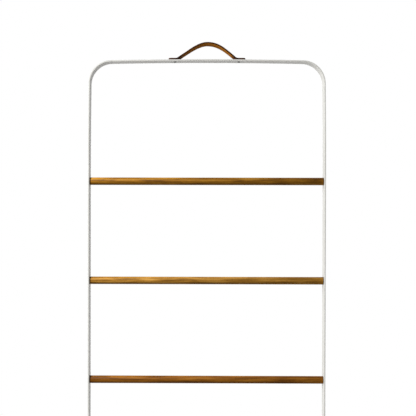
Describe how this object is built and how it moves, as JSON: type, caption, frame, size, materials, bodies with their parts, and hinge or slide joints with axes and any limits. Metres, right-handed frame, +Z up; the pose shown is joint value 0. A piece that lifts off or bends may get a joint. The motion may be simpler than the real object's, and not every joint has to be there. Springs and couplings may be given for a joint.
{
  "type": "leaning quilt ladder",
  "caption": "Slim leaning ladder for quilts and towels: a bent flat-steel hoop, round oak rungs between its rails and a leather carry strap on the top bar.",
  "frame": {"origin": "centre of the ladder's footprint, on the floor between the two foot caps", "axes": "+Z up along the rails, +X from the left rail to the right rail as seen from the front, +Y from the front to the wall behind"},
  "size_m": [0.524, 0.034, 1.7375],
  "materials": {
    "white_powder_coat": "matt powder coat with a fine texture",
    "smoked_oak": "smoked and oiled, satin",
    "brass": "turned",
    "dark_fibre": "matt",
    "stainless_steel": "satin",
    "saddle_leather": "vegetable-tanned, waxed",
    "foot_rubber": "moulded, matt"
  },
  "bodies": {
    "root": {"left_rail": "white_powder_coat", "right_rail": "white_powder_coat", "top_bow": "white_powder_coat", "rung_1": "smoked_oak", "rung_2": "smoked_oak", "rung_3": "smoked_oak", "rung_4": "smoked_oak", "rung_5": "smoked_oak", "rung_6": "smoked_oak", "rung_inserts": "brass", "rung_washers": "dark_fibre", "rung_screws": "stainless_steel", "carry_strap": "saddle_leather", "strap_posts": "stainless_steel", "strap_screws": "stainless_steel", "left_foot_cap": "foot_rubber", "right_foot_cap": "foot_rubber"}
  },
  "joints": []
}
